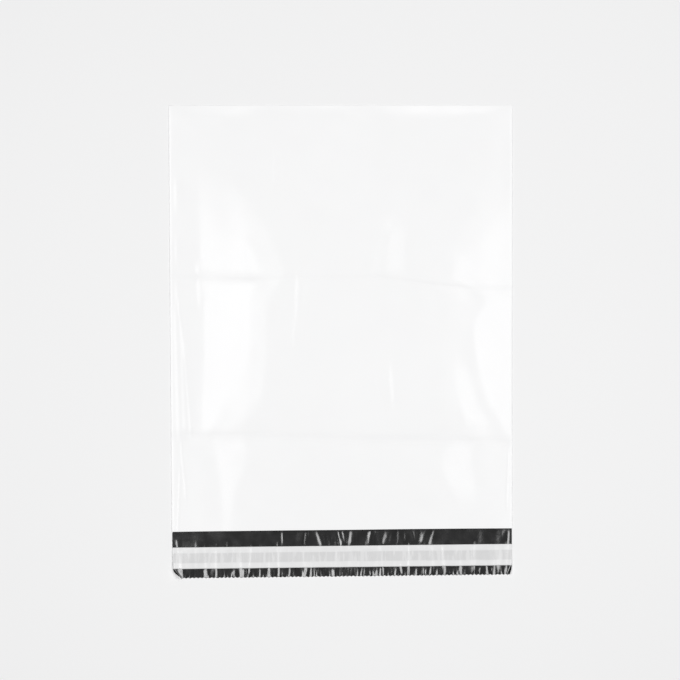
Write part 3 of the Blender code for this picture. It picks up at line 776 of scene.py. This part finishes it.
def crease_wear_and_painted_shade(nodes, place):
    """How worn the film is along its two creases, and how much shade is painted there, from 0 to 1."""
    axes = nodes.add("ShaderNodeSeparateXYZ", Vector=place).outputs
    wander = nodes.math("MULTIPLY_ADD", noise(nodes, place, scale=22.0), MARK_WANDER, -MARK_WANDER / 2)
    start, end = LEFT_BULGE
    rising = smooth_range(nodes, axes["X"], start - LEFT_BULGE_BLEND, start, 0.0, 1.0)
    falling = smooth_range(nodes, axes["X"], end, end + LEFT_BULGE_BLEND, 1.0, 0.0)
    bulge = nodes.math("MULTIPLY", rising, falling)
    total = 0.0
    for (left, right, further, *_), mark_sizes in zip(CREASES, CREASE_WEAR_AND_SHADE):
        half_width, strength, bulge_strength, bulge_widening = mark_sizes
        lean = (right - left) / (2 * SIDE)
        straight = nodes.math("MULTIPLY_ADD", axes["X"], -lean, Y_CLOSED - (left + right) / 2)
        bent = smooth_range(nodes, axes["X"], *CREASE_BEND, 0.0, further)
        line = nodes.math("SUBTRACT", straight, bent)
        off = nodes.math("ADD", nodes.math("SUBTRACT", axes["Y"], line), wander)
        wider = nodes.math("MULTIPLY_ADD", bulge, bulge_widening, 1.0)
        off = nodes.math("DIVIDE", nodes.math("ABSOLUTE", off), wider)
        mark = smooth_range(nodes, off, 0.0, half_width, 1.0, 0.0)
        amount = nodes.math("MULTIPLY_ADD", bulge, bulge_strength - strength, strength)
        total = nodes.math("ADD", total, nodes.math("MULTIPLY", mark, amount))
    return nodes.math("MULTIPLY", total, spread(nodes, noise(nodes, place, scale=28.0), low=0.6, high=1.0))


def white_film():
    """Opaque white polyethylene, glossy, with the faint unevenness of blown film, and shade painted along
    its creases.
    """
    material, nodes, shader, place = new_material("white outer film")
    clean = mixed(nodes, noise(nodes, place, scale=9.0, detail=3.0), *WHITE_COLOURS)
    marks = crease_wear_and_painted_shade(nodes, place)
    # The darker colour along the creases is painted shade; their added roughness is wear
    nodes.put(shader.inputs["Base Color"], mixed(nodes, marks, clean, PAINTED_CREASE_SHADE_COLOUR))
    gloss = spread(nodes, noise(nodes, place, scale=35.0), low=0.20, high=0.26)
    nodes.put(shader.inputs["Roughness"], nodes.math("MULTIPLY_ADD", marks, WORN_ROUGHNESS, gloss))
    shader.inputs["Specular IOR Level"].default_value = 0.20
    film_bump(nodes, shader, place, fine_depth=0.000012, dimple_depth=0.00004)
    return material


def dark_film():
    """The pigmented inner layer of the film."""
    material, nodes, shader, place = new_material("dark inner film")
    colour = mixed(nodes, noise(nodes, place, scale=30.0, detail=3.0), *DARK_COLOURS)
    gloss = spread(nodes, noise(nodes, place, scale=90.0), low=0.13, high=0.20)
    nodes.put(shader.inputs["Base Color"], colour)
    nodes.put(shader.inputs["Roughness"], gloss)
    shader.inputs["Specular IOR Level"].default_value = 0.8
    shader.inputs["IOR"].default_value = 1.6
    film_bump(nodes, shader, place, fine_depth=0.000005, dimple_depth=0.00005)
    return material


def liner_film():
    """Pale translucent release liner: the adhesive under it shows as a darker band."""
    material, nodes, shader, place = new_material("pale release liner")
    y = nodes.add("ShaderNodeSeparateXYZ", Vector=place).outputs["Y"]
    middle = (GLUE_LOW[1] + GLUE_HIGH[1]) / 2
    half = (GLUE_HIGH[1] - GLUE_LOW[1]) / 2
    wander = nodes.math("MULTIPLY_ADD", noise(nodes, place, scale=55.0), GLUE_WANDER, -GLUE_WANDER / 2)
    off = nodes.math("ABSOLUTE", nodes.math("ADD", nodes.math("SUBTRACT", y, middle), wander))
    band = smooth_range(nodes, off, half - GLUE_EDGE, half + GLUE_EDGE, 1.0, 0.0)
    drawn_out = nodes.add("ShaderNodeMapping", Vector=place, Scale=(1.0, 0.14, 1.0)).outputs["Vector"]
    streaks = noise(nodes, drawn_out, scale=230.0)
    held = smooth_range(nodes, streaks, start=0.36, end=0.46, low=0.35, high=1.0)
    glue = nodes.math("MULTIPLY", band, held)
    gloss = spread(nodes, noise(nodes, place, scale=90.0), low=0.24, high=0.34)
    nodes.put(shader.inputs["Base Color"], mixed(nodes, glue, LINER_COLOUR, GLUED_LINER_COLOUR))
    nodes.put(shader.inputs["Roughness"], gloss)
    film_bump(nodes, shader, place, fine_depth=0.00001, dimple_depth=0.00005)
    return material


def clear_glue():
    """The tacky layer under the liner."""
    material, nodes, shader, place = new_material("clear adhesive")
    gloss = spread(nodes, noise(nodes, place, scale=300.0), low=0.25, high=0.4)
    nodes.put(shader.inputs["Base Color"], mixed(nodes, noise(nodes, place, scale=200.0), *GLUE_COLOURS))
    nodes.put(shader.inputs["Roughness"], gloss)
    return material


def bead_tree(finish):
    """A melted bead that follows a seam, with a radius that wanders along it."""
    tree = bpy.data.node_groups.new("weld bead along a seam", "GeometryNodeTree")
    tree.interface.new_socket("Seam", in_out="INPUT", socket_type="NodeSocketGeometry")
    for name, value in BEAD_SIZES.items():
        socket = tree.interface.new_socket(name, in_out="INPUT", socket_type="NodeSocketFloat")
        socket.default_value = value
    tree.interface.new_socket("Bead", in_out="OUTPUT", socket_type="NodeSocketGeometry")
    nodes = Nodes(tree)
    given = nodes.add("NodeGroupInput").outputs
    curve = nodes.add("GeometryNodeMeshToCurve", Mesh=given["Seam"]).outputs["Curve"]
    fine = nodes.add("GeometryNodeResampleCurve", {"mode": "LENGTH"}, Curve=curve, Length=given["Spacing"])
    low = nodes.math("SUBTRACT", 1.0, given["Unevenness"])
    draw = nodes.add("FunctionNodeRandomValue", {"data_type": "FLOAT"}, Min=low, Max=1.0, Seed=BEAD_SEED)
    radius = nodes.math("MULTIPLY", given["Bead radius"], draw.outputs["Value"])
    profile = nodes.add("GeometryNodeCurvePrimitiveCircle", {"mode": "RADIUS"},
                        Resolution=BEAD_SIDES, Radius=1.0)
    tube = nodes.add("GeometryNodeCurveToMesh", Curve=fine.outputs["Curve"],
                     Profile_Curve=profile.outputs["Curve"], Scale=radius, Fill_Caps=True)
    plain = nodes.add("GeometryNodeRealizeInstances", Geometry=tube.outputs["Mesh"])
    dressed = nodes.add("GeometryNodeSetMaterial", Geometry=plain.outputs["Geometry"], Material=finish)
    nodes.add("NodeGroupOutput", Bead=dressed.outputs["Geometry"])
    return tree


def weld_bead(name, side, tree):
    """The bead along one side, from the mouth to the closed end."""
    y = np.linspace(Y_MOUTH - BEAD_PAST_MOUTH, Y_FOLD, BEAD_POINTS)
    points = [(side * (SIDE - BEAD_WIDTH / 2), place, BEAD_LIFT) for place in y]
    mesh = bpy.data.meshes.new(name)
    mesh.from_pydata(points, [(i, i + 1) for i in range(len(points) - 1)], [])
    piece = add_piece(name, mesh)
    bead = piece.modifiers.new("weld bead", "NODES")
    bead.node_group = tree
    for socket in tree.interface.items_tree:
        if socket.in_out == "INPUT" and socket.name in BEAD_SIZES:
            bead[socket.identifier] = BEAD_SIZES[socket.name]
    made_plain(piece)
    bm = bmesh.new()
    bm.from_mesh(piece.data)
    bmesh.ops.recalc_face_normals(bm, faces=bm.faces)
    bm.to_mesh(piece.data)
    bm.free()
    return piece


def camera():
    """Looks down on the bag so that the bag's origin falls on its pixel of the image."""
    data = bpy.data.cameras.new("camera")
    data.sensor_width = SENSOR
    data.lens = SENSOR * PIXELS_PER_METRE * CAMERA_DISTANCE / IMAGE_PIXELS
    back = Vector((-math.sin(CAMERA_TO_LEFT), math.sin(CAMERA_TO_CLOSED_END), 1)).normalized()
    right = Vector((0, 1, 0)).cross(back).normalized()
    up = back.cross(right)
    turned_right = right * math.cos(CAMERA_ROLL) + up * math.sin(CAMERA_ROLL)
    turned_up = up * math.cos(CAMERA_ROLL) - right * math.sin(CAMERA_ROLL)
    across = (IMAGE_PIXELS / 2 - ORIGIN_PIXEL[0]) / PIXELS_PER_METRE
    upwards = (ORIGIN_PIXEL[1] - IMAGE_PIXELS / 2) / PIXELS_PER_METRE
    target = turned_right * across + turned_up * upwards
    place = target + back * CAMERA_DISTANCE
    made = bpy.data.objects.new("camera", data)
    axes = Matrix((turned_right, turned_up, back)).transposed().to_4x4()
    made.matrix_world = Matrix.Translation(place) @ axes
    bpy.context.scene.collection.objects.link(made)
    bpy.context.scene.camera = made


def softbox(name, place, target, width, length, radiance):
    """A lamp whose width runs across the bag and whose length runs along it."""
    data = bpy.data.lights.new(name, "AREA")
    data.shape = "RECTANGLE"
    data.size = width
    data.size_y = length
    data.energy = radiance * math.pi * width * length
    made = bpy.data.objects.new(name, data)
    back = (Vector(place) - Vector(target)).normalized()
    across = Vector((0, 1, 0)).cross(back).normalized()
    axes = Matrix((across, back.cross(across), back)).transposed().to_4x4()
    made.matrix_world = Matrix.Translation(place) @ axes
    made.visible_camera = False
    bpy.context.scene.collection.objects.link(made)


def lights():
    """Two tall softboxes beside the camera, a small one past the closed end, and an even surround."""
    for side, radiance in ((-1, LEFT_RADIANCE), (1, RIGHT_RADIANCE)):
        angle = CAMERA_TO_LEFT + side * SIDE_SOFTBOX_ANGLE
        place = Vector((math.sin(angle), 0, math.cos(angle))) * SOFTBOX_DISTANCE
        along = Vector((0, SIDE_SOFTBOX_Y, 0))
        softbox("side softbox", place + along, along, *SIDE_SOFTBOX, radiance)
    place = Vector((0, math.sin(FAR_SOFTBOX_ANGLE), math.cos(FAR_SOFTBOX_ANGLE))) * SOFTBOX_DISTANCE
    across = Vector((FAR_SOFTBOX_X, 0, 0))
    softbox("far softbox", place + across, across, *FAR_SOFTBOX, FAR_RADIANCE)
    world = bpy.data.worlds.new("studio")
    bpy.context.scene.world = world
    world.use_nodes = True
    nodes = Nodes(world.node_tree)
    shown = nodes.add("ShaderNodeLightPath").outputs["Is Camera Ray"]
    surround = world.node_tree.nodes["Background"]
    surround.inputs["Color"].default_value = (1, 1, 1, 1)
    strength = nodes.math("MULTIPLY_ADD", shown, SURROUND_SEEN - SURROUND, SURROUND)
    nodes.put(surround.inputs["Strength"], strength)


def table():
    """The pale table that the bag lies on."""
    material, nodes, shader, place = new_material("pale table")
    nodes.put(shader.inputs["Base Color"], mixed(nodes, noise(nodes, place, scale=1.5), *TABLE_COLOURS))
    shader.inputs["Roughness"].default_value = 0.8
    shader.inputs["Specular IOR Level"].default_value = 0.1
    far, z = TABLE_HALF, BAG_LOW[2] - TABLE_GAP
    corners = [(-far, -far, z), (far, -far, z), (far, far, z), (-far, far, z)]
    mesh = bpy.data.meshes.new("table")
    mesh.from_pydata(corners, [], [(0, 1, 2, 3)])
    top = add_piece("table", mesh, material)


def main():
    """Builds the scene and tells the frame about each piece."""
    bpy.context.scene.view_settings.view_transform = "Standard"
    camera()
    lights()
    table()
    white, dark, liner_finish = white_film(), dark_film(), liner_film()

    film = film_piece(white, dark)
    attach(film, "root")
    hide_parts("film_bag")

    tree = bead_tree(white)
    beads = [weld_bead("left_weld_bead", -1, tree), weld_bead("right_weld_bead", 1, tree)]
    for bead in beads:
        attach(bead, "root")
        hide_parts("film_bag")

    glue = strip_piece("adhesive_layer", GLUE_LOW[1], GLUE_HIGH[1], GLUE_ROWS, LAYER_GAP, GLUE_THICKNESS,
                       clear_glue())
    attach(glue, "root")
    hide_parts("adhesive_strip")

    liner = strip_piece("release_liner_film", LINER_LOW[1], LINER_HIGH[1], LINER_ROWS,
                        2 * LAYER_GAP + GLUE_THICKNESS, LINER_THICKNESS, liner_finish)
    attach(liner, "root")
    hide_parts("release_liner")


main()
